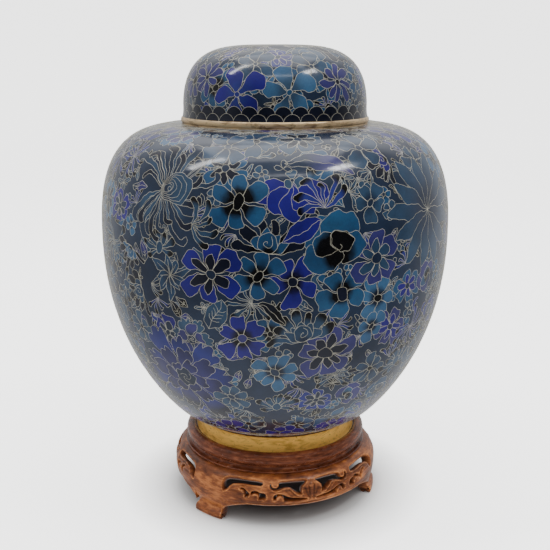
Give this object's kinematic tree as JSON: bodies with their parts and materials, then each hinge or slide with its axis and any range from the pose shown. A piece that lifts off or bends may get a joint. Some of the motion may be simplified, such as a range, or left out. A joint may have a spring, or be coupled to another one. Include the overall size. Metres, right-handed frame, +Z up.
{
  "type": "cloisonne jar",
  "caption": "Covered round-shouldered cloisonne jar in blue enamel with fine metal wires, standing on a turned and pierced wooden stand.",
  "frame": {"origin": "on the table under the jar's axis, at the bottom of the stand's feet", "axes": "+Z up along the jar's axis; -Y is the front, with the panel between the left and right legs turned 20 degrees towards +X"},
  "size_m": [0.178, 0.178, 0.236],
  "materials": {
    "blue_enamel": "glossy dark blue glass enamel between fine gilt wires",
    "counter_enamel": "glossy plain blue enamel",
    "copper": "dark oxidised copper sheet; brass stands in for copper",
    "brass": "dull gilt brass with small pits",
    "dark_wood": "polished dark red-brown hardwood",
    "carved_wood": "polished red-brown hardwood, lighter on carved edges"
  },
  "bodies": {
    "stand": {"stand_tray": "dark_wood", "stand_waist": "dark_wood", "apron_front": "carved_wood", "apron_rear": "carved_wood", "apron_left": "carved_wood", "leg_left": "carved_wood", "leg_right": "carved_wood", "leg_rear": "carved_wood", "leg_pegs": "carved_wood"},
    "jar": {"foot_ring": "brass", "jar_base": "copper", "base_enamel": "counter_enamel", "jar_shell": "copper", "jar_enamel": "blue_enamel", "jar_lining": "counter_enamel", "neck_collar": "brass", "shoulder_ring": "brass", "mouth_rim": "brass"},
    "lid": {"lid_rim": "brass", "lid_shell": "copper", "lid_enamel": "blue_enamel", "lid_lining": "counter_enamel"}
  },
  "joints": [
    {"name": "jar_lift", "type": "slide", "parent": "stand", "child": "jar", "axis": [0, 0, 1], "range_m": [0, 0.06]},
    {"name": "lid_lift", "type": "slide", "parent": "jar", "child": "lid", "axis": [0, 0, 1], "range_m": [0, 0.06]}
  ]
}
